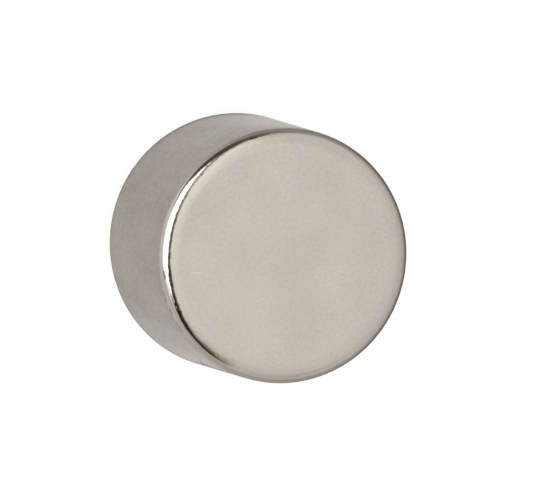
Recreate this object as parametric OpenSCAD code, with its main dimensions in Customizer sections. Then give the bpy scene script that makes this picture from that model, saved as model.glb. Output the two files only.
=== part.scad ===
// Disc magnet: one short cylinder of sintered magnet alloy under thin nickel plating.
// It stands on one pole face, with +Z up and the origin at the centre of that face.
// Both rims have the blended edge that barrel tumbling leaves. The pole face rolls off
// slowly, a tight arc turns the corner, and a slow roll-off leads down into the wall.
// Each arc is tangent to the next, so no crease shows anywhere around the section.

/* [Body] */
// Diameter over the plated wall
diameter = 10; // [5:0.5:40]
// Thickness from one pole face to the other
thickness = 8; // [3:0.5:30]

/* [Tumbled rim] */
// Radius of the slow roll-off around the border of each pole face
face_roll_radius = 1.25; // [0.75:0.05:2]
// Radius of the tight arc that turns the corner
corner_radius = 0.3; // [0.1:0.05:0.6]
// Radius of the slow roll-off at each end of the wall
wall_roll_radius = 0.6; // [0.4:0.05:1.2]

/* [Finish] */
// Colour of the nickel plating
nickel = "#c6bfb4";

/* [Hidden] */

// Steps around the arcs of the section, and around the body
arc_steps = 240;
body_steps = 180;

// Unit vectors out of the surface: down, sideways, up, and where roll-off and corner meet.
// A roll-off ends on a slope of 7 in 24, the sides of a 7-24-25 triangle, so that the arcs
// of the section start and end on round numbers.
DOWN = [0, -1];
OUT = [1, 0];
UP = [0, 1];
NEAR_FACE = [7, 24] / 25;
NEAR_WALL = [24, 7] / 25;
function below(v) = [v[0], -v[1]];

// The arcs in order from the lower pole face to the upper one. Each has its radius, then
// the way it faces where it starts and where it ends.
arcs = [
    [face_roll_radius, DOWN, below(NEAR_FACE)],
    [corner_radius, below(NEAR_FACE), below(NEAR_WALL)],
    [wall_roll_radius, below(NEAR_WALL), OUT],
    [wall_roll_radius, OUT, NEAR_WALL],
    [corner_radius, NEAR_WALL, NEAR_FACE],
    [face_roll_radius, NEAR_FACE, UP],
];
ARCS_PER_RIM = 3;

// Step from the start of arc i to its end
function arc_step(i) = arcs[i][0] * (arcs[i][2] - arcs[i][1]);

// What one rim takes from the radius and from the thickness leaves the flat and the wall
rim_size = arc_step(0) + arc_step(1) + arc_step(2);
flat_radius = diameter / 2 - rim_size[0];
wall_length = thickness - 2 * rim_size[1];

// The straight wall comes before the upper rim's first arc
function arc_start(i) =
    i == 0 ? [flat_radius, 0]
    : i == ARCS_PER_RIM ? arc_end(i - 1) + wall_length * UP
    : arc_end(i - 1);
function arc_end(i) = arc_start(i) + arc_step(i);
function arc_centre(i) = arc_start(i) - arcs[i][0] * arcs[i][1];

// The slice of the rim that arc i bounds, sunk into the body by the corner radius
module rim_slice(i) {
    facing = arcs[i][1] + arcs[i][2];
    outwards = arcs[i][0] * facing;
    inwards = -corner_radius / 2 * facing;
    intersection() {
        translate(arc_centre(i)) circle(r = arcs[i][0], $fn = arc_steps);
        polygon([
            arc_start(i) + inwards,
            arc_start(i) + outwards,
            arc_end(i) + outwards,
            arc_end(i) + inwards,
        ]);
    }
}

// Half of the section, from the axis out to the wall
module half_section() {
    polygon([
        [0, 0],
        for (i = [0 : len(arcs) - 1]) each [arc_start(i), arc_end(i)],
        [0, thickness],
    ]);
    for (i = [0 : len(arcs) - 1]) rim_slice(i);
}

module disc_magnet() {
    color(nickel) rotate_extrude($fn = body_steps) half_section();
}

disc_magnet();
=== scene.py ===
"""The disc magnet as it is photographed: a short nickel-plated cylinder on a pale floor."""

import logging
import math
from dataclasses import dataclass
from enum import Enum
from functools import partial, reduce

import bpy
from mathutils import Matrix, Vector


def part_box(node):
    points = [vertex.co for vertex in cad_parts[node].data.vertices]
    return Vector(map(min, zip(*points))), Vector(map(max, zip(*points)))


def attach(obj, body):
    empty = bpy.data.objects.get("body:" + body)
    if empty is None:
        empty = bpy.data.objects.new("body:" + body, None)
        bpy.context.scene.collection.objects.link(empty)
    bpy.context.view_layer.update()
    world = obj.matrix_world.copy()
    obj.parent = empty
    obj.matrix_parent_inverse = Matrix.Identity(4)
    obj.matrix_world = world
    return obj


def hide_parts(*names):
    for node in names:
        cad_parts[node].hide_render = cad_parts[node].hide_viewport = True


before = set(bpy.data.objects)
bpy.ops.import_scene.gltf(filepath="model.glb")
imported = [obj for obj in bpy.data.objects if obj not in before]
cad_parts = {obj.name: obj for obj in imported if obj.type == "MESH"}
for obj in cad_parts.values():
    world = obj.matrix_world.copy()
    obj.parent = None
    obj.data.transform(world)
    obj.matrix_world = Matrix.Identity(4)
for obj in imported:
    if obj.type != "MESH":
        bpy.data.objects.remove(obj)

MM = 0.001
MAGNET_NODE = "disc_magnet"
MAGNET_BODY = "root"
PIECE = "magnet_body"
LEAN = "lean"
WHITE = (1.0, 1.0, 1.0, 1.0)

log = logging.getLogger("disc_magnet")


class Fade(Enum):
    """How a value crosses over from one level to the next."""

    STRAIGHT = "LINEAR"
    SOFT = "SMOOTHSTEP"


class Kind(Enum):
    """The kinds of input that a Geometry Nodes tree takes."""

    NUMBER = "NodeSocketFloat"
    COUNT = "NodeSocketInt"


class Wiring:
    """Adds nodes to one tree and links them, so that a formula reads like one."""

    def __init__(self, tree: bpy.types.NodeTree) -> None:
        """Take the tree that the nodes go into.

        Args:
            tree: a shader or geometry node tree.
        """
        self.tree = tree

    def node(self, kind: str, **settings: object) -> bpy.types.Node:
        """Add one node.

        Args:
            kind: the node's type name.
            settings: properties to set on it.

        Returns:
            The new node.
        """
        made = self.tree.nodes.new(kind)
        for name, value in settings.items():
            setattr(made, name, value)
        return made

    def feed(self, socket: bpy.types.NodeSocket, value: object) -> None:
        """Give a socket its value, by a link or as a plain number.

        Args:
            socket: the input to fill.
            value: another node's output, or a value that the socket can hold.
        """
        if isinstance(value, bpy.types.NodeSocket):
            self.tree.links.new(value, socket)
        else:
            socket.default_value = value

    def fed(self, kind: str, *values: object, **settings: object) -> bpy.types.Node:
        """Add one node and fill its inputs.

        Args:
            kind: the node's type name.
            values: numbers or sockets, in the order of the inputs that are in use.
            settings: properties to set on it.

        Returns:
            The new node.
        """
        made = self.node(kind, **settings)
        for socket, value in zip([s for s in made.inputs if s.enabled], values):
            self.feed(socket, value)
        return made

    def math(self, operation: str, *values: object) -> bpy.types.NodeSocket:
        """Work out one number from others.

        Args:
            operation: the Math node's operation.
            values: its operands, as numbers or sockets.

        Returns:
            The socket that carries the result.
        """
        return self.fed("ShaderNodeMath", *values, operation=operation).outputs[0]

    def total(self, *values: object) -> bpy.types.NodeSocket:
        """Add up numbers and sockets."""
        return reduce(partial(self.math, "ADD"), values)

    def product(self, *values: object) -> bpy.types.NodeSocket:
        """Multiply numbers and sockets."""
        return reduce(partial(self.math, "MULTIPLY"), values)

    def vector(self, operation: str, *values: object, out: int = 0) -> bpy.types.NodeSocket:
        """Work out one vector, or one number, from vectors.

        Args:
            operation: the Vector Math node's operation.
            values: its operands, as vectors, numbers or sockets.
            out: 0 for the vector result, 1 for the number.

        Returns:
            The socket that carries the result.
        """
        return self.fed("ShaderNodeVectorMath", *values, operation=operation).outputs[out]

    def split(self, vector: bpy.types.NodeSocket) -> list[bpy.types.NodeSocket]:
        """Take a vector apart into its X, Y and Z."""
        return list(self.fed("ShaderNodeSeparateXYZ", vector).outputs)

    def join(self, *values: object) -> bpy.types.NodeSocket:
        """Put X, Y and Z together into a vector."""
        return self.fed("ShaderNodeCombineXYZ", *values).outputs[0]

    def ramp(
        self,
        value: object,
        before: tuple[object, object],
        after: tuple[object, object] = (0.0, 1.0),
        fade: Fade = Fade.STRAIGHT,
    ) -> bpy.types.NodeSocket:
        """Carry a number from one range over to another, held at both ends.

        Args:
            value: the number to carry over.
            before: the range that it comes from.
            after: the range that it goes to.
            fade: how it crosses over.

        Returns:
            The socket that carries the result.
        """
        values = (value, *before, *after)
        return self.fed("ShaderNodeMapRange", *values, interpolation_type=fade.value).outputs[0]

    def noise(
        self, place: bpy.types.NodeSocket, scale: object, detail: float, seed: object
    ) -> bpy.types.NodeSocket:
        """Add a random field without direction.

        Args:
            place: the coordinates that it reads, in millimetres.
            scale: features per millimetre.
            detail: octaves of finer features.
            seed: picks another field of the same kind.

        Returns:
            The socket that carries a number around 0.5.
        """
        values = (place, seed, scale, detail)
        return self.fed("ShaderNodeTexNoise", *values, noise_dimensions="4D").outputs[0]

    def away(
        self, place: bpy.types.NodeSocket, start: Vector, end: Vector
    ) -> bpy.types.NodeSocket:
        """Measure how far a place is from a straight line between two points.

        Args:
            place: the place.
            start: one end of the line.
            end: the other end, or the same point again for a spot.

        Returns:
            The socket that carries the distance.
        """
        line = end - start
        off = self.vector("SUBTRACT", place, tuple(start))
        if line.length == 0:
            return self.vector("LENGTH", off, out=1)
        along = self.vector("DOT_PRODUCT", off, tuple(line / line.length_squared), out=1)
        share = self.ramp(along, (0.0, 1.0))
        nearest = self.vector("SCALE", tuple(line), share)
        return self.vector("LENGTH", self.vector("SUBTRACT", off, nearest), out=1)

    def blend(
        self, share: object, first: object, second: object, kind: str = "FLOAT"
    ) -> bpy.types.NodeSocket:
        """Mix two values.

        Args:
            share: 0 for the first, 1 for the second.
            first: a number, a colour or a socket.
            second: the same kind of value.
            kind: FLOAT or RGBA.

        Returns:
            The socket that carries the mix.
        """
        made = self.fed("ShaderNodeMix", share, first, second, data_type=kind)
        return next(s for s in made.outputs if s.enabled)

    def surface(self, shader: bpy.types.Node) -> None:
        """Make one shader the look of the material's surface."""
        output = self.node("ShaderNodeOutputMaterial")
        self.feed(output.inputs["Surface"], shader.outputs[0])


def new_material(name: str) -> tuple[bpy.types.Material, Wiring]:
    """Make an empty node material.

    Args:
        name: the material's name.

    Returns:
        The material, and the wiring of its emptied tree.
    """
    material = bpy.data.materials.new(name)
    material.use_nodes = True
    material.node_tree.nodes.clear()
    return material, Wiring(material.node_tree)


def own_place(wiring: Wiring) -> bpy.types.NodeSocket:
    """Read the surface's own coordinates in metres."""
    return wiring.node("ShaderNodeTexCoord").outputs["Object"]


def place_in_mm(wiring: Wiring) -> bpy.types.NodeSocket:
    """Read the surface's own coordinates in millimetres."""
    return wiring.vector("SCALE", own_place(wiring), 1 / MM)


def glow_only(
    material: bpy.types.Material, wiring: Wiring, level: bpy.types.NodeSocket, colour: object
) -> bpy.types.Material:
    """Finish a cloth or card that gives light and has no surface of its own.

    Args:
        material: its material.
        wiring: the material's wiring.
        level: how bright it is.
        colour: the colour of its light.

    Returns:
        The finished material.
    """
    light = wiring.node("ShaderNodeEmission")
    wiring.feed(light.inputs["Color"], colour)
    wiring.feed(light.inputs["Strength"], level)
    wiring.surface(light)
    material.cycles.emission_sampling = "NONE"
    return material


@dataclass(frozen=True)
class Mark:
    """A short line or a spot in the finish, lighter or darker than what is around it.

    Start and end are in millimetres from the middle of the lower face.
    """

    name: str
    start: tuple[float, float, float]
    end: tuple[float, float, float]
    width: float
    level: float


@dataclass(frozen=True)
class Field:
    """A random field of the finish: features per millimetre, octaves and seed."""

    per_mm: float
    detail: float
    seed: float

    def over(self, wiring: Wiring, place: bpy.types.NodeSocket) -> bpy.types.NodeSocket:
        """Lay the field over the surface."""
        return wiring.noise(place, self.per_mm, self.detail, self.seed)


@dataclass(frozen=True)
class SatinNickel:
    """Nickel plating, satin on the faces and polished by tumbling on the rims.

    A lean is 0 on a face and 1 on the wall. The wall's look begins at one lean and is full
    at another, and both change across the side range, which is in millimetres along X.
    The wall's darker colour is painted shade for the shaded floor that the wall reflects,
    and the wall's look starting further down towards +X paints a lighter shoulder there.
    """

    face_colour: tuple[float, float, float, float] = (0.575, 0.530, 0.466, 1.0)
    # painted shade: the wall's colour is darker than the face's, for the shaded floor that it
    # reflects
    wall_colour_painted_darker: tuple[float, float, float, float] = (0.384, 0.352, 0.326, 1.0)
    face_grazing_tint: float = 0.52
    wall_grazing_tint: float = 0.63
    face_roughness: float = 0.24
    rim_roughness: float = 0.09
    wall_roughness: float = 0.22
    polish_begins: tuple[float, float] = (0.01, 0.04)
    polish_ends: tuple[float, float] = (0.86, 0.99)
    # painted light: towards +X the wall's look starts later, so the rim's shoulder keeps the
    # lighter face colour
    painted_shoulder_side_range: tuple[float, float] = (-3.0, -0.3)
    wall_look_begins: tuple[float, float] = (0.3, 0.84)
    wall_look_is_full: tuple[float, float] = (0.9, 1.0)
    stretch_along_wall: float = 0.5
    grain: Field = Field(8.0, 3.0, 3.0)
    cloud: Field = Field(0.55, 3.0, 55.0)
    yellow: Field = Field(2.5, 3.0, 11.0)
    pink: Field = Field(2.5, 3.0, 14.0)
    pores: Field = Field(6.0, 2.0, 5.0)
    face_mottling: float = 0.10
    wall_mottling: float = 0.125
    face_yellow_swing: float = 0.075
    wall_yellow_swing: float = 0.05
    wall_pink_swing: float = 0.07
    pore_depth: float = 0.0024 * MM
    mark_core: float = 1 / 3
    marks: tuple[Mark, ...] = (
        Mark("face streak", (1.65, -3.38, 8.0), (1.57, -3.10, 8.0), 0.045, 1.12),
        Mark("upper dash", (-2.20, -4.13, 7.97), (-2.08, -4.18, 7.97), 0.035, 0.5),
        Mark("middle dash", (-1.23, -4.49, 7.97), (-1.06, -4.54, 7.97), 0.04, 0.6),
        Mark("lower dash", (2.98, -3.72, 7.94), (3.19, -3.55, 7.94), 0.05, 0.35),
        Mark("lowest dash", (3.24, -3.49, 7.94), (3.39, -3.35, 7.94), 0.05, 0.35),
        Mark("side dash", (-3.98, -2.70, 7.93), (-4.12, -2.46, 7.93), 0.05, 0.35),
        Mark("outer dash", (1.93, -4.50, 7.87), (2.16, -4.37, 7.89), 0.05, 0.35),
        # painted reflection: a thin dark line between the highlight and the shoulder
        Mark("outer hairline", (0.70, -4.90, 7.80), (0.31, -4.96, 7.76), 0.04, 0.7),
        Mark("faint dot", (-2.96, -3.43, 7.99), (-2.96, -3.43, 7.99), 0.05, 0.85),
        Mark("upper rub", (2.70, -4.20, 7.67), (3.04, -3.97, 7.61), 0.08, 0.75),
        Mark("middle rub", (3.17, -3.85, 7.70), (3.43, -3.62, 7.69), 0.06, 0.7),
        Mark("lower rub", (3.69, -3.36, 7.67), (3.95, -3.03, 7.70), 0.06, 0.75),
        Mark("first speck", (4.90, -0.98, 4.60), (4.98, -0.49, 3.08), 0.07, 0.4),
        Mark("second speck", (4.92, -0.91, 4.81), (4.98, -0.47, 3.41), 0.05, 0.5),
        Mark("third speck", (4.88, -1.08, 4.60), (4.93, -0.83, 3.84), 0.08, 0.5),
        Mark("wall speck by the rim", (3.83, -3.21, 4.70), (3.83, -3.21, 4.85), 0.05, 0.6),
        Mark("wall speck at the foot", (4.51, -2.15, 2.43), (4.53, -2.11, 2.55), 0.05, 0.6),
        Mark("low wall speck", (4.59, -1.99, 3.41), (4.62, -1.91, 3.50), 0.06, 0.55),
        Mark("middle wall speck", (4.53, -2.11, 5.57), (4.58, -2.00, 5.50), 0.05, 0.65),
        Mark("last wall speck", (4.79, -1.42, 5.46), (4.82, -1.32, 5.30), 0.06, 0.5),
    )

    def material(self) -> bpy.types.Material:
        """Build the finish.

        Returns:
            The material for the whole magnet.
        """
        material, wiring = new_material("satin_nickel")
        place = place_in_mm(wiring)
        lean = wiring.node("ShaderNodeAttribute", attribute_name=LEAN).outputs["Fac"]
        wall = self.shaded_wall_share(wiring, lean, place)
        rim = wiring.product(
            wiring.ramp(lean, self.polish_begins, fade=Fade.SOFT),
            wiring.ramp(lean, self.polish_ends, (1.0, 0.0), Fade.SOFT),
        )
        shader = wiring.node("ShaderNodeBsdfPrincipled")
        shader.inputs["Metallic"].default_value = 1.0
        variation = wiring.vector(
            "SCALE", self.variation(wiring, place, wall), self.marking(wiring, place)
        )
        tint = wiring.blend(wall, self.face_grazing_tint, self.wall_grazing_tint)
        wiring.feed(shader.inputs["Specular Tint"], wiring.vector("SCALE", variation, tint))
        # painted shade: the wall takes the darker colour
        colour = wiring.blend(wall, self.face_colour, self.wall_colour_painted_darker, "RGBA")
        wiring.feed(shader.inputs["Base Color"], wiring.vector("MULTIPLY", colour, variation))
        satin = wiring.blend(wall, self.face_roughness, self.wall_roughness)
        wiring.feed(shader.inputs["Roughness"], wiring.blend(rim, satin, self.rim_roughness))
        bump = wiring.node("ShaderNodeBump")
        bump.inputs["Distance"].default_value = self.pore_depth
        wiring.feed(bump.inputs["Height"], self.pores.over(wiring, place))
        wiring.feed(shader.inputs["Normal"], bump.outputs[0])
        wiring.surface(shader)
        return material

    # painted shade and light: the wall's look is darker, and its later start towards +X paints a
    # lighter shoulder
    def shaded_wall_share(
        self, wiring: Wiring, lean: bpy.types.NodeSocket, place: bpy.types.NodeSocket
    ) -> bpy.types.NodeSocket:
        """Find where the surface has the wall's look, which starts further down towards +X.

        Args:
            wiring: the material's wiring.
            lean: how far the surface leans, from 0 on a face to 1 on the wall.
            place: the surface's coordinates in millimetres.

        Returns:
            The socket that is 0 on the faces and 1 on the wall.
        """
        side = wiring.split(place)[0]
        begins = wiring.ramp(side, self.painted_shoulder_side_range, self.wall_look_begins)
        is_full = wiring.ramp(side, self.painted_shoulder_side_range, self.wall_look_is_full)
        return wiring.ramp(lean, (begins, is_full), fade=Fade.SOFT)

    def variation(
        self, wiring: Wiring, place: bpy.types.NodeSocket, wall: bpy.types.NodeSocket
    ) -> bpy.types.NodeSocket:
        """Find how the plating varies, in fine grain, in wide clouds and in hue.

        Args:
            wiring: the material's wiring.
            place: the surface's coordinates in millimetres.
            wall: 0 on the faces, 1 on the wall.

        Returns:
            The socket that carries a factor for each channel, all around 1.
        """
        streaked = wiring.vector("MULTIPLY", place, (1.0, 1.0, self.stretch_along_wall))
        mottled = wiring.total(*(f.over(wiring, streaked) for f in (self.grain, self.cloud)))
        swing = wiring.blend(wall, self.face_mottling, self.wall_mottling)
        # The sum of the two fields swings around 1, and each of the others around 0.5.
        level = self.swung(wiring, mottled, (0.5, 1.5), swing)
        swing = wiring.blend(wall, self.face_yellow_swing, self.wall_yellow_swing)
        blue = self.swung(wiring, self.yellow.over(wiring, streaked), (0.0, 1.0), swing)
        swing = wiring.product(wall, self.wall_pink_swing)
        green = self.swung(wiring, self.pink.over(wiring, streaked), (0.0, 1.0), swing)
        return wiring.vector("SCALE", wiring.join(1.0, green, blue), level)

    def swung(
        self, wiring: Wiring, field: object, spread: tuple[float, float], swing: object
    ) -> bpy.types.NodeSocket:
        """Turn a random field into a factor around 1.

        Args:
            wiring: the material's wiring.
            field: the random field.
            spread: the range of the field that the swing belongs to.
            swing: how far the factor goes to either side of 1.

        Returns:
            The socket that carries the factor.
        """
        lowest, highest = wiring.math("SUBTRACT", 1.0, swing), wiring.total(1.0, swing)
        return wiring.ramp(field, spread, (lowest, highest))

    def marking(self, wiring: Wiring, place: bpy.types.NodeSocket) -> bpy.types.NodeSocket:
        """Find how much lighter or darker the marks leave the surface.

        Args:
            wiring: the material's wiring.
            place: the surface's coordinates in millimetres.

        Returns:
            The socket that carries the factor, 1 away from the marks.
        """
        levels = []
        for mark in self.marks:
            off = wiring.away(place, Vector(mark.start), Vector(mark.end))
            span = (mark.width * self.mark_core, mark.width)
            levels.append(wiring.ramp(off, span, (mark.level, 1.0), Fade.SOFT))
        return wiring.product(*levels)


@dataclass(frozen=True)
class PaleFloor:
    """A matt white floor with a little light of its own, as on a light table."""

    colour: float = 0.22
    glow: float = 0.85

    def material(self) -> bpy.types.Material:
        """Build the finish.

        Returns:
            The material for the floor.
        """
        material, wiring = new_material("pale_floor")
        shader = wiring.node("ShaderNodeBsdfPrincipled")
        shader.inputs["Base Color"].default_value = (*(self.colour,) * 3, 1.0)
        shader.inputs["Roughness"].default_value = 1.0
        shader.inputs["Specular IOR Level"].default_value = 0.0
        shader.inputs["Emission Color"].default_value = WHITE
        shader.inputs["Emission Strength"].default_value = self.glow
        wiring.surface(shader)
        return material


@dataclass(frozen=True)
class Panel:
    """A bright or dark rectangle of the light tent, on the tent's leaning front.

    Across and up are in units of the front's distance from the magnet, from its middle.
    The edges are how softly it ends across and up.
    """

    name: str
    across: tuple[float, float]
    up: tuple[float, float]
    level: float
    edges: tuple[float, float]


@dataclass(frozen=True)
class TentCloth:
    """The inside of the light tent: dim at the horizon, bright overhead, with panels."""

    front_bearing: float = 178.0
    front_tilt: float = 45.0
    nearest: float = 0.001
    horizon_dark: float = 0.28
    horizon_light: float = 0.51
    light_bearing: float = 155.0
    zenith: float = 1.11
    after_floor: float = 0.8
    warm_below: float = 0.6
    warmth: tuple[float, float, float, float] = (1.22, 1.0, 0.76, 1.0)
    panels: tuple[Panel, ...] = (
        Panel("dim overhead right", (-2.2, -0.33), (1.25, 2.6), 0.84, (0.2, 0.3)),
        Panel("dim far right", (-6.0, -1.0), (1.75, 4.5), 0.66, (0.4, 0.3)),
        Panel("overhead strip", (-0.08, 0.56), (-2.64, 1.42), 1.26, (0.16, 0.6)),
        Panel("dim overhead left", (0.24, 2.4), (1.4, 3.2), 0.88, (0.15, 0.3)),
        Panel("diffuser", (-0.58, 0.45), (-0.84, 0.47), 1.83, (0.14, 0.6)),
        Panel("flag on the right", (-1.75, -0.56), (0.50, 1.36), 0.04, (0.20, 0.40)),
        Panel("flag on the left", (0.23, 4.0), (-0.985, 0.815), 0.09, (0.29, 0.12)),
        Panel("end of the left flag", (0.85, 1.5), (0.40, 1.0), 0.16, (0.25, 0.2)),
        Panel("dim side", (1.92, 7.8), (-2.5, 1.92), 0.29, (1.2, 1.1)),
        Panel("flag above", (-1.2, -0.10), (0.23, 0.93), 0.03, (0.12, 0.06)),
        Panel("gap above", (-0.30, 0.20), (0.60, 0.84), 0.10, (0.25, 0.03)),
        Panel("softbox's wing", (-0.80, -0.48), (-0.45, 0.25), 1.12, (0.1, 0.15)),
        Panel("softbox", (-0.462, 0.447), (-0.40, 0.635), 2.6, (0.08, 0.02)),
    )

    def material(self) -> bpy.types.Material:
        """Build the cloth, which only gives light.

        Returns:
            The material for the tent.
        """
        material, wiring = new_material("tent_cloth")
        towards = wiring.vector("NORMALIZE", own_place(wiring))
        rise = wiring.math("ARCSINE", wiring.split(towards)[2])
        horizon = self.horizon(wiring, towards)
        level = wiring.ramp(rise, (0.0, math.pi / 2), (horizon, self.zenith))
        for panel in self.panels:
            level = wiring.blend(self.coverage(wiring, panel, towards), level, panel.level)
        depth = wiring.node("ShaderNodeLightPath").outputs["Diffuse Depth"]
        by_way_of_floor = wiring.math("GREATER_THAN", depth, 0.5)
        level = wiring.blend(by_way_of_floor, level, self.after_floor)
        cool = wiring.ramp(level, (0.0, self.warm_below))
        colour = wiring.blend(cool, self.warmth, WHITE, "RGBA")
        return glow_only(material, wiring, level, colour)

    def horizon(
        self, wiring: Wiring, towards: bpy.types.NodeSocket
    ) -> bpy.types.NodeSocket:
        """Find the cloth's level at the horizon, lighter on one side than on the other.

        Args:
            wiring: the cloth's wiring.
            towards: the direction from the magnet to the cloth.

        Returns:
            The socket that carries the level.
        """
        bearing = math.radians(self.light_bearing)
        level_part = wiring.vector("MULTIPLY", towards, (1.0, 1.0, 0.0))
        along = wiring.vector("NORMALIZE", level_part)
        lightest = (math.sin(bearing), math.cos(bearing), 0.0)
        facing = wiring.vector("DOT_PRODUCT", along, lightest, out=1)
        return wiring.ramp(facing, (-1.0, 1.0), (self.horizon_dark, self.horizon_light))

    def coverage(
        self, wiring: Wiring, panel: Panel, towards: bpy.types.NodeSocket
    ) -> bpy.types.NodeSocket:
        """Find where one panel covers the tent.

        Args:
            wiring: the cloth's wiring.
            panel: the panel.
            towards: the direction from the magnet to the cloth.

        Returns:
            The socket that is 1 on the panel and 0 off it.
        """
        bearing, tilt = math.radians(self.front_bearing), math.radians(self.front_tilt)
        ahead = Vector((math.sin(bearing), math.cos(bearing), 0.0))
        side = Vector((math.cos(bearing), -math.sin(bearing), 0.0))
        facing = ahead * math.cos(tilt) + Vector((0, 0, math.sin(tilt)))
        upwards = -ahead * math.sin(tilt) + Vector((0, 0, math.cos(tilt)))
        near = wiring.vector("DOT_PRODUCT", towards, facing, out=1)
        depth = wiring.math("MAXIMUM", near, self.nearest)
        covers = [wiring.math("GREATER_THAN", near, self.nearest)]
        for axis, (low, high), edge in zip(
            (side, upwards), (panel.across, panel.up), panel.edges
        ):
            place = wiring.math("DIVIDE", wiring.vector("DOT_PRODUCT", towards, axis, out=1), depth)
            off_middle = wiring.math("ABSOLUTE", wiring.math("SUBTRACT", place, (low + high) / 2))
            half = (high - low) / 2
            ends = (half - edge, half + edge)
            covers.append(wiring.ramp(off_middle, ends, (1.0, 0.0), Fade.SOFT))
        return wiring.product(*covers)


@dataclass(frozen=True)
class SkirtCloth:
    """The low band around the magnet: light in front and at the sides, and dark behind.

    A span is where one level passes into the next, in units of the band's radius, from left
    to right or from the middle to the front.
    """

    radius: float
    dark: float = 0.26
    right: float = 0.60
    right_span: tuple[float, float] = (0.3, 1.0)
    left: float = 0.45
    left_span: tuple[float, float] = (-0.86, -0.97)
    front: float = 0.90
    front_span: tuple[float, float] = (-0.1, -0.7)
    left_end: float = 0.5
    left_end_span: tuple[float, float] = (-0.9, -0.3)
    right_end: float = 0.75
    right_end_span: tuple[float, float] = (0.25, 0.5)

    def material(self) -> bpy.types.Material:
        """Build the cloth, which only gives light.

        Returns:
            The material for the skirt.
        """
        material, wiring = new_material("skirt_cloth")
        place = wiring.vector("SCALE", own_place(wiring), 1 / self.radius)
        side, back, _ = wiring.split(place)
        behind = wiring.ramp(side, self.right_span, (self.dark, self.right))
        behind = wiring.blend(wiring.ramp(side, self.left_span), behind, self.left)
        in_front = wiring.product(
            wiring.ramp(back, self.front_span, fade=Fade.SOFT),
            wiring.ramp(side, self.left_end_span, (self.left_end, 1.0)),
            wiring.ramp(side, self.right_end_span, (1.0, self.right_end)),
        )
        level = wiring.blend(in_front, behind, self.front)
        return glow_only(material, wiring, level, WHITE)


@dataclass(frozen=True)
class FootShadowCard:
    """The card around the magnet's foot: dark against the foot, uneven from side to side.

    A span is where one level passes into the next, in millimetres from the middle. The dark
    corner lies on the right, behind a slanting edge, and the rear is the part beyond the
    magnet's middle, shaded away from the foot. The card glows and is seen only in the metal,
    and its levels are painted light and shade on the floor: the dark ring is the painted
    shadow at the foot, and the dark corner and the rear are painted shade.
    """

    level: float = 0.995
    foot_span: tuple[float, float] = (5.03, 5.14)
    foot_shadow_levels: tuple[float, float] = (0.12, 0.65)
    foot_side_span: tuple[float, float] = (-1.0, 1.5)
    far_level: float = 0.94
    far_span: tuple[float, float] = (8.0, 11.0)
    left_level: float = 1.03
    left_span: tuple[float, float] = (-5.2, -4.2)
    shaded_corner_level: float = 0.60
    corner_slant: tuple[float, float, float] = (-1.5, 1.0, 0.0)
    corner_slant_span: tuple[float, float] = (-8.25, -7.5)
    corner_side_span: tuple[float, float] = (3.0, 4.5)
    shaded_rear_level: float = 0.83
    rear_span: tuple[float, float] = (0.2, 0.9)
    rear_radius_span: tuple[float, float] = (5.7, 6.8)
    tone: tuple[float, float, float, float] = (1.03, 1.0, 0.975, 1.0)

    def material(self) -> bpy.types.Material:
        """Build the card, which only gives light.

        Returns:
            The material for the card.
        """
        material, wiring = new_material("foot_card")
        place = wiring.vector("MULTIPLY", place_in_mm(wiring), (1.0, 1.0, 0.0))
        side, back, _ = wiring.split(place)
        radius = wiring.vector("LENGTH", place, out=1)
        slanting = wiring.vector("DOT_PRODUCT", place, self.corner_slant, out=1)
        corner = wiring.product(
            wiring.ramp(side, self.corner_side_span),
            wiring.ramp(slanting, self.corner_slant_span),
        )
        rear = wiring.product(
            wiring.ramp(back, self.rear_span), wiring.ramp(radius, self.rear_radius_span)
        )
        at_foot = wiring.ramp(side, self.foot_side_span, self.foot_shadow_levels)
        # painted shadow and shade: the card's levels stand for the shaded floor around the foot
        level = wiring.product(
            wiring.ramp(radius, self.foot_span, (at_foot, self.level), Fade.SOFT),
            wiring.ramp(radius, self.far_span, (1.0, self.far_level)),
            wiring.ramp(side, self.left_span, (self.left_level, 1.0)),
            wiring.blend(corner, 1.0, self.shaded_corner_level),
            wiring.blend(rear, 1.0, self.shaded_rear_level),
        )
        return glow_only(material, wiring, level, self.tone)


@dataclass(frozen=True)
class Turn:
    """One arc of the section, from one lean of the surface to the next.

    A surface that leans by 0 is the wall, and one that leans by a right angle is the face.
    """

    name: str
    radius: float
    start: float
    end: float
    rows: int

    def step(self) -> Vector:
        """Get the step from the arc's start to its end.

        Returns:
            The step in metres, with X outwards and Y upwards.
        """
        first = Vector((math.cos(self.start), math.sin(self.start)))
        last = Vector((math.cos(self.end), math.sin(self.end)))
        return (last - first) * self.radius


# The leans where the arcs of the section meet, at a slope of 7 in 24 as in the CAD model.
# The crown of the face starts 4 degrees short of level.
NEAR_WALL = math.atan2(7, 24)
NEAR_FACE = math.pi / 2 - NEAR_WALL
CROWN = math.radians(86.0)


@dataclass(frozen=True)
class Unevenness:
    """How far plating and tumbling leave the rims from their true form.

    It comes in and goes out over two ranges of the lean, from a face to the wall.
    """

    depth: float = 0.008 * MM
    per_mm: float = 2.0
    detail: float = 2.0
    seed: float = 4.0
    comes_in: tuple[float, float] = (0.0, 0.08)
    goes_out: tuple[float, float] = (0.92, 1.0)


@dataclass(frozen=True)
class Nick:
    """A small dent in the upper rim, where another magnet has struck it.

    The bearing is in degrees from +Y towards +X, and the lengths are in metres.
    """

    name: str
    bearing: float
    radius: float
    along: float
    across: float
    depth: float


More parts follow.
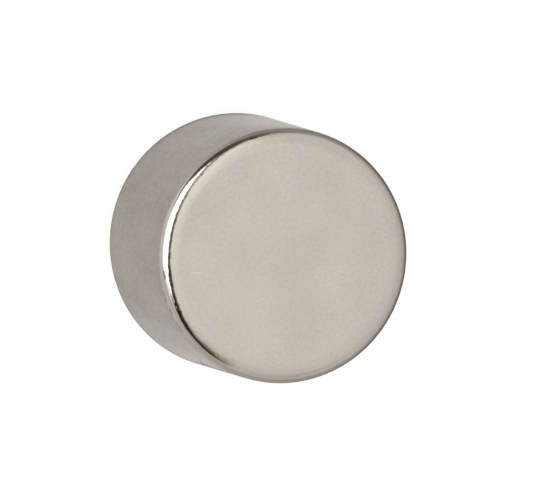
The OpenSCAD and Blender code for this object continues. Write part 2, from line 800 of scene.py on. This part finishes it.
@dataclass
class RolledBody:
    """The Geometry Nodes tree that turns the section of the magnet about its axis."""

    diameter: float
    thickness: float
    turns: tuple[Turn, ...] = (
        Turn("Wall Roll", 0.6 * MM, 0.0, NEAR_WALL, 8),
        Turn("Corner", 0.3 * MM, NEAR_WALL, NEAR_FACE, 24),
        Turn("Face Roll", 1.25 * MM, NEAR_FACE, CROWN, 12),
        Turn("Face Crown", 5.0 * MM, CROWN, math.pi / 2, 8),
    )
    wall_rows: int = 5
    flat_rows: int = 8
    steps_around: int = 720
    merge_distance: float = 0.001 * MM
    unevenness: Unevenness = Unevenness()
    nicks: tuple[Nick, ...] = (
        Nick("Broken End", 212.1, 4.76 * MM, 0.07 * MM, 0.07 * MM, 0.002 * MM),
        Nick("Lower Step", 139.8, 4.77 * MM, 0.10 * MM, 0.06 * MM, 0.002 * MM),
    )

    def tree(
        self, material: bpy.types.Material
    ) -> tuple[bpy.types.NodeTree, dict[str, object]]:
        """Build the tree.

        Args:
            material: the body's finish.

        Returns:
            The tree, and the value of each input by its socket's identifier.
        """
        tree = bpy.data.node_groups.new("rolled_body", "GeometryNodeTree")
        tree.interface.new_socket("Geometry", in_out="INPUT", socket_type="NodeSocketGeometry")
        tree.interface.new_socket("Geometry", in_out="OUTPUT", socket_type="NodeSocketGeometry")
        values = {}
        for name, kind, value in self.sizes():
            item = tree.interface.new_socket(name, in_out="INPUT", socket_type=kind.value)
            values[item.identifier] = value
        wiring = Wiring(tree)
        given = wiring.node("NodeGroupInput").outputs
        grid = wiring.node("GeometryNodeMeshGrid")
        turn_rows = [given[f"{turn.name} Rows"] for turn in self.turns]
        half_rows = wiring.total(given["Wall Rows"], given["Flat Rows"], *turn_rows)
        wiring.feed(grid.inputs["Size X"], 1.0)
        wiring.feed(grid.inputs["Size Y"], 1.0)
        wiring.feed(grid.inputs["Vertices X"], wiring.total(given["Steps Around"], 1))
        rows = wiring.math("MULTIPLY_ADD", half_rows, 2, 1)
        wiring.feed(grid.inputs["Vertices Y"], rows)
        place, lean = self.section(wiring, given, half_rows)
        marked = wiring.node("GeometryNodeStoreNamedAttribute", data_type="FLOAT", domain="POINT")
        wiring.feed(marked.inputs["Geometry"], grid.outputs["Mesh"])
        wiring.feed(marked.inputs["Name"], LEAN)
        wiring.feed(marked.inputs["Value"], lean)
        shaped = wiring.node("GeometryNodeSetPosition")
        wiring.feed(shaped.inputs["Geometry"], marked.outputs["Geometry"])
        wiring.feed(shaped.inputs["Position"], place)
        closed = wiring.node("GeometryNodeMergeByDistance")
        wiring.feed(closed.inputs["Geometry"], shaped.outputs["Geometry"])
        wiring.feed(closed.inputs["Distance"], given["Merge Distance"])
        worn = self.worn(wiring, given, closed.outputs["Geometry"])
        smooth = wiring.node("GeometryNodeSetShadeSmooth")
        wiring.feed(smooth.inputs["Geometry"], worn)
        real = wiring.node("GeometryNodeRealizeInstances")
        wiring.feed(real.inputs["Geometry"], smooth.outputs["Geometry"])
        dressed = wiring.node("GeometryNodeSetMaterial")
        wiring.feed(dressed.inputs["Geometry"], real.outputs["Geometry"])
        dressed.inputs["Material"].default_value = material
        output = wiring.node("NodeGroupOutput")
        wiring.feed(output.inputs["Geometry"], dressed.outputs["Geometry"])
        return tree, values

    def sizes(self) -> list[tuple[str, Kind, object]]:
        """List the tree's inputs.

        Returns:
            The name, the kind and the value of each.
        """
        return [
            ("Diameter", Kind.NUMBER, self.diameter),
            ("Thickness", Kind.NUMBER, self.thickness),
            *((f"{t.name} Radius", Kind.NUMBER, t.radius) for t in self.turns),
            ("Steps Around", Kind.COUNT, self.steps_around),
            ("Wall Rows", Kind.COUNT, self.wall_rows),
            *((f"{t.name} Rows", Kind.COUNT, t.rows) for t in self.turns),
            ("Flat Rows", Kind.COUNT, self.flat_rows),
            ("Merge Distance", Kind.NUMBER, self.merge_distance),
            ("Unevenness Depth", Kind.NUMBER, self.unevenness.depth),
            ("Unevenness Per Mm", Kind.NUMBER, self.unevenness.per_mm),
            ("Unevenness Seed", Kind.NUMBER, self.unevenness.seed),
            *((f"{n.name} Depth", Kind.NUMBER, n.depth) for n in self.nicks),
        ]

    def section(
        self, wiring: Wiring, given: bpy.types.NodeOutputs, half_rows: bpy.types.NodeSocket
    ) -> tuple[bpy.types.NodeSocket, bpy.types.NodeSocket]:
        """Place the grid's points: along the section by Y, and around the axis by X.

        Args:
            wiring: the tree's wiring.
            given: the tree's inputs.
            half_rows: the rows between the middle of the wall and the middle of a face.

        Returns:
            The sockets of each point's place, and of its lean in right angles.
        """
        across, along, _ = wiring.split(wiring.node("GeometryNodeInputPosition").outputs[0])
        row = wiring.product(wiring.math("ABSOLUTE", along), wiring.product(half_rows, 2))
        rim_width, rim_height = self.rim_size(wiring, given)
        radius = wiring.product(given["Diameter"], 0.5)
        middle = wiring.product(given["Thickness"], 0.5)
        wall_half = wiring.math("SUBTRACT", middle, rim_height)
        on_wall = self.share(wiring, row, 0.0, given["Wall Rows"])
        outwards = [radius]
        upwards = [wiring.product(wall_half, on_wall)]
        leans = []
        start = given["Wall Rows"]
        for turn in self.turns:
            rows = given[f"{turn.name} Rows"]
            share = self.share(wiring, row, start, rows)
            swing = wiring.product(share, turn.end - turn.start)
            angle = wiring.total(swing, turn.start)
            size = given[f"{turn.name} Radius"]
            for parts, function, first in (
                (outwards, "COSINE", math.cos(turn.start)),
                (upwards, "SINE", math.sin(turn.start)),
            ):
                turned = wiring.math("SUBTRACT", wiring.math(function, angle), first)
                parts.append(wiring.product(turned, size))
            leans.append(swing)
            start = wiring.total(start, rows)
        on_flat = self.share(wiring, row, start, given["Flat Rows"])
        flat_radius = wiring.math("SUBTRACT", radius, rim_width)
        inwards = wiring.product(flat_radius, on_flat, -1)
        from_axis = wiring.total(*outwards, inwards)
        off_middle = wiring.product(wiring.total(*upwards), wiring.math("SIGN", along))
        angle = wiring.product(across, math.tau)
        place = wiring.join(
            wiring.product(from_axis, wiring.math("COSINE", angle)),
            wiring.product(from_axis, wiring.math("SINE", angle)),
            wiring.total(middle, off_middle),
        )
        lean = wiring.math("DIVIDE", wiring.total(*leans), math.pi / 2)
        return place, wiring.math("SUBTRACT", 1.0, lean)

    def share(
        self, wiring: Wiring, row: object, start: object, rows: object
    ) -> bpy.types.NodeSocket:
        """Find how far a row lies along one stretch of the section, from 0 to 1."""
        past = wiring.math("DIVIDE", wiring.math("SUBTRACT", row, start), rows)
        return wiring.math("MINIMUM", wiring.math("MAXIMUM", past, 0.0), 1.0)

    def rim_size(
        self, wiring: Wiring, given: bpy.types.NodeOutputs
    ) -> tuple[bpy.types.NodeSocket, bpy.types.NodeSocket]:
        """Work out what a rim takes from the face and from the wall.

        Args:
            wiring: the tree's wiring.
            given: the tree's inputs.

        Returns:
            The sockets of the rim's width on the face and its height on the wall.
        """
        width, height = [], []
        for turn in self.turns:
            outwards, upwards = turn.step() / turn.radius
            size = given[f"{turn.name} Radius"]
            width.append(wiring.product(size, -outwards))
            height.append(wiring.product(size, upwards))
        return wiring.total(*width), wiring.total(*height)

    def worn(
        self, wiring: Wiring, given: bpy.types.NodeOutputs, mesh: bpy.types.NodeSocket
    ) -> bpy.types.NodeSocket:
        """Sink the surface a little here and there, never outwards.

        Args:
            wiring: the tree's wiring.
            given: the tree's inputs.
            mesh: the true form.

        Returns:
            The socket of the worn form.
        """
        point = wiring.node("GeometryNodeInputPosition").outputs[0]
        dips = wiring.noise(
            wiring.vector("SCALE", point, 1 / MM),
            given["Unevenness Per Mm"],
            self.unevenness.detail,
            given["Unevenness Seed"],
        )
        stored = wiring.node("GeometryNodeInputNamedAttribute", data_type="FLOAT")
        stored.inputs["Name"].default_value = LEAN
        lean = stored.outputs["Attribute"]
        off_flat = wiring.ramp(lean, self.unevenness.comes_in, fade=Fade.SOFT)
        off_wall = wiring.ramp(lean, self.unevenness.goes_out, (1.0, 0.0), Fade.SOFT)
        on_rim = wiring.product(off_flat, off_wall)
        uneven = wiring.product(dips, given["Unevenness Depth"], on_rim)
        middle = wiring.product(given["Thickness"], 0.5)
        above_middle = wiring.math("GREATER_THAN", wiring.split(point)[2], middle)
        struck = wiring.total(*(self.dent(wiring, given, point, nick) for nick in self.nicks))
        depth = wiring.math("MULTIPLY_ADD", struck, above_middle, uneven)
        normal = wiring.node("GeometryNodeInputNormal").outputs[0]
        sunk = wiring.node("GeometryNodeSetPosition")
        wiring.feed(sunk.inputs["Geometry"], mesh)
        inwards = wiring.product(depth, -1)
        wiring.feed(sunk.inputs["Offset"], wiring.vector("SCALE", normal, inwards))
        return sunk.outputs["Geometry"]

    def dent(
        self,
        wiring: Wiring,
        given: bpy.types.NodeOutputs,
        point: bpy.types.NodeSocket,
        nick: Nick,
    ) -> bpy.types.NodeSocket:
        """Find how deep one nick is at each point.

        Args:
            wiring: the tree's wiring.
            given: the tree's inputs.
            point: the point.
            nick: the nick.

        Returns:
            The socket that carries the depth, 0 away from the nick.
        """
        bearing = math.radians(nick.bearing)
        outwards = (math.sin(bearing), math.cos(bearing), 0.0)
        onwards = (math.cos(bearing), -math.sin(bearing), 0.0)
        out = wiring.vector("DOT_PRODUCT", point, outwards, out=1)
        across = wiring.math("DIVIDE", wiring.math("SUBTRACT", out, nick.radius), nick.across)
        on = wiring.vector("DOT_PRODUCT", point, onwards, out=1)
        along = wiring.math("DIVIDE", on, nick.along)
        off = wiring.vector("LENGTH", wiring.join(across, along, 0.0), out=1)
        share = wiring.ramp(off, (0.0, 1.0), (1.0, 0.0), Fade.SOFT)
        return wiring.product(share, given[f"{nick.name} Depth"])


@dataclass
class DiscMagnet:
    """The magnet itself: one plated body that stands on its lower pole face."""

    diameter: float
    thickness: float

    @classmethod
    def from_frame(cls) -> "DiscMagnet":
        """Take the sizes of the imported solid."""
        low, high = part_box(MAGNET_NODE)
        return cls(diameter=high[0] - low[0], thickness=high[2] - low[2])

    def build(self) -> bpy.types.Object:
        """Make the finished piece.

        Returns:
            The magnet's object, which already stands at its place.
        """
        body = RolledBody(self.diameter, self.thickness)
        tree, values = body.tree(SatinNickel().material())
        holder = bpy.data.objects.new("body_tree", bpy.data.meshes.new("body_tree"))
        bpy.context.scene.collection.objects.link(holder)
        modifier = holder.modifiers.new("rolled_body", "NODES")
        modifier.node_group = tree
        for identifier, value in values.items():
            modifier[identifier] = value
        depsgraph = bpy.context.evaluated_depsgraph_get()
        mesh = bpy.data.meshes.new_from_object(
            holder.evaluated_get(depsgraph), preserve_all_data_layers=True, depsgraph=depsgraph
        )
        bpy.data.objects.remove(holder)
        mesh.name = PIECE
        piece = bpy.data.objects.new(PIECE, mesh)
        bpy.context.scene.collection.objects.link(piece)
        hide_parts(MAGNET_NODE)
        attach(piece, MAGNET_BODY)
        return piece


@dataclass
class Studio:
    """The floor, the light tent around it, its cards and the plain white light outside."""

    reach: float = 0.3
    skirt_radius: float = 12 * MM
    skirt_height: float = 8.2 * MM
    card_height: float = 0.02 * MM
    steps_around: int = 96
    tent_steps: int = 64
    tent_rings: int = 16

    def build(self) -> list[bpy.types.Object]:
        """Make the floor, the tent, its skirt and the card at the foot, and light the world.

        Returns:
            The objects of the stage. Only the metal sees those after the floor.
        """
        floor = self.circle_sheet("floor", self.reach, 0.0)
        # painted shadow: a glowing card, seen only in the metal, stands for the floor's shade at
        # the foot
        card = self.circle_sheet("foot_card", self.skirt_radius, self.card_height)
        things = [
            self.stage_object(floor, PaleFloor().material()),
            self.stage_object(self.dome(), TentCloth().material()),
            self.stage_object(self.band(), SkirtCloth(self.skirt_radius).material()),
            self.stage_object(card, FootShadowCard().material()),
        ]
        for thing in things[1:]:
            self.hide_from_all_but_metal(thing)
        self.world()
        return things

    def hide_from_all_but_metal(self, thing: bpy.types.Object) -> None:
        """Let a thing show in reflections only.

        Args:
            thing: the cloth or card.
        """
        thing.visible_camera = False
        thing.visible_diffuse = False
        thing.visible_shadow = False
        thing.visible_transmission = False

    def world(self) -> None:
        """Fill the world with plain white light."""
        world = bpy.data.worlds.new("plain_light")
        world.use_nodes = True
        background = world.node_tree.nodes["Background"]
        background.inputs["Color"].default_value = WHITE
        background.inputs["Strength"].default_value = 1.0
        bpy.context.scene.world = world

    def circle(self, radius: float, height: float, steps: int) -> list[Vector]:
        """List points around a level circle.

        Args:
            radius: the circle's radius in metres.
            height: its height over the floor in metres.
            steps: the number of points.

        Returns:
            The points, in the sense from +X to +Y.
        """
        angles = [math.tau * step / steps for step in range(steps)]
        return [Vector((radius * math.cos(a), radius * math.sin(a), height)) for a in angles]

    def circle_sheet(self, name: str, radius: float, height: float) -> bpy.types.Mesh:
        """Make a flat round mesh.

        Args:
            name: the mesh's name.
            radius: its radius in metres.
            height: its height over the floor in metres.

        Returns:
            The new mesh.
        """
        mesh = bpy.data.meshes.new(name)
        points = self.circle(radius, height, self.steps_around)
        mesh.from_pydata(points, [], [tuple(range(self.steps_around))])
        return mesh

    def band(self) -> bpy.types.Mesh:
        """Make the skirt's band, which stands on the floor and faces inwards.

        Returns:
            The new mesh.
        """
        steps = self.steps_around
        points = self.circle(self.skirt_radius, 0.0, steps)
        points += self.circle(self.skirt_radius, self.skirt_height, steps)
        faces = []
        for step in range(steps):
            after = (step + 1) % steps
            faces.append((step, step + steps, after + steps, after))
        mesh = bpy.data.meshes.new("skirt")
        mesh.from_pydata(points, [], faces)
        return mesh

    def dome(self) -> bpy.types.Mesh:
        """Make the light tent's half sphere over the floor, facing inwards.

        Returns:
            The new mesh.
        """
        around, rings = self.tent_steps, self.tent_rings
        points = [Vector((0.0, 0.0, self.reach))]
        for ring in range(1, rings + 1):
            polar = math.pi / 2 * ring / rings
            radius, height = self.reach * math.sin(polar), self.reach * math.cos(polar)
            points += self.circle(radius, height, around)
        faces = [(0, 1 + (step + 1) % around, 1 + step) for step in range(around)]
        for ring in range(rings - 1):
            first = 1 + ring * around
            for step in range(around):
                here, after = first + step, first + (step + 1) % around
                faces.append((here, after, after + around, here + around))
        mesh = bpy.data.meshes.new("light_tent")
        mesh.from_pydata(points, [], faces)
        return mesh

    def stage_object(
        self, mesh: bpy.types.Mesh, material: bpy.types.Material
    ) -> bpy.types.Object:
        """Put a mesh into the scene as part of the stage.

        Args:
            mesh: the mesh, which also gives the object its name.
            material: its finish.

        Returns:
            The new object.
        """
        mesh.materials.append(material)
        made = bpy.data.objects.new(mesh.name, mesh)
        bpy.context.scene.collection.objects.link(made)
        return made


@dataclass
class PhotoCamera:
    """The camera, with the magnet placed in the picture as the photograph has it.

    It has no perspective, because the photograph was taken from far away. Pixels are those
    of the photograph, counted right and down from its upper left corner.
    """

    picture_width: int = 533
    picture_height: int = 497
    magnet_x: float = 257.59
    magnet_y: float = 247.66
    radius_in_pixels: float = 128.3
    off_axis: float = 16.0
    roll: float = 16.55
    distance: float = 0.2
    near_limit: float = 0.01
    far_limit: float = 1.0

    def build(self, magnet: DiscMagnet) -> bpy.types.Object:
        """Place the camera.

        Args:
            magnet: the magnet that it looks at.

        Returns:
            The camera's object.
        """
        up = Vector((0.0, 0.0, 1.0))
        off_axis, roll = math.radians(self.off_axis), math.radians(self.roll)
        back = Vector((0.0, -math.sin(off_axis), math.cos(off_axis)))
        axis_in_picture = (up - back * math.cos(off_axis)) / math.sin(off_axis)
        across_axis = back.cross(axis_in_picture)
        right = axis_in_picture * math.cos(roll) + across_axis * math.sin(roll)
        above = across_axis * math.cos(roll) - axis_in_picture * math.sin(roll)
        pixel = magnet.diameter / 2 / self.radius_in_pixels
        place = up * magnet.thickness / 2 + back * self.distance
        place += right * ((self.picture_width - 1) / 2 - self.magnet_x) * pixel
        place -= above * ((self.picture_height - 1) / 2 - self.magnet_y) * pixel
        data = bpy.data.cameras.new("photo_camera")
        data.type = "ORTHO"
        data.ortho_scale = self.picture_width * pixel
        data.clip_start = self.near_limit
        data.clip_end = self.far_limit
        camera = bpy.data.objects.new("photo_camera", data)
        camera.matrix_world = Matrix.Translation(place) @ Matrix(
            (right, above, back)
        ).transposed().to_4x4()
        bpy.context.scene.collection.objects.link(camera)
        bpy.context.scene.camera = camera
        return camera


def main() -> None:
    """Build the magnet, its studio and its camera in order."""
    logging.basicConfig(level=logging.INFO, format="%(name)s: %(message)s")
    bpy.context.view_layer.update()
    magnet = DiscMagnet.from_frame()
    for thing in (magnet.build(), *Studio().build()):
        points, faces = len(thing.data.vertices), len(thing.data.polygons)
        log.info("%s: %d points, %d faces", thing.name, points, faces)
    camera = PhotoCamera().build(magnet)
    log.info("%s: %.2f mm across the picture", camera.name, camera.data.ortho_scale / MM)
    bpy.context.scene.view_settings.view_transform = "Standard"


if __name__ == "__main__":
    main()
